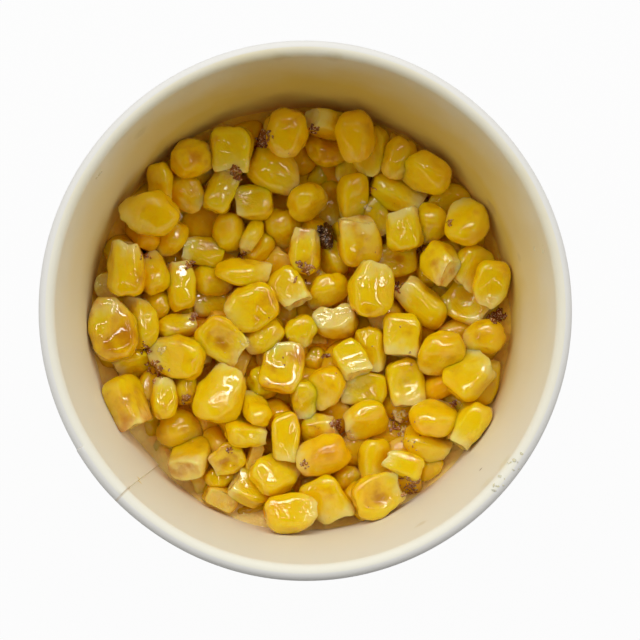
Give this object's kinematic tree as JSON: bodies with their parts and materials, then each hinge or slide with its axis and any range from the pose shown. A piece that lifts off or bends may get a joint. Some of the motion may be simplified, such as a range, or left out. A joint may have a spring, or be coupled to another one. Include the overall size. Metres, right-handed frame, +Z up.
{
  "type": "grilled corn kernels in a paper cup",
  "caption": "Round paper cup with a rolled rim, partly filled with loose grilled sweetcorn kernels, open above them and standing on its folded foot.",
  "frame": {"origin": "centre of the cup's foot, on the surface that it stands on", "axes": "+Z up out of the cup's mouth; the lap of the wall lies between -X and -Y"},
  "size_m": [0.09, 0.0914, 0.061],
  "materials": {
    "coated_paper": "white coated cup paper, satin, a little warm where the corn's butter has stained it",
    "sweetcorn": "cooked yellow kernels, glossy with butter, with brown and black grill marks"
  },
  "bodies": {
    "root": {"cup_wall": "coated_paper", "cup_base": "coated_paper", "corn_heap": "sweetcorn"}
  },
  "joints": []
}
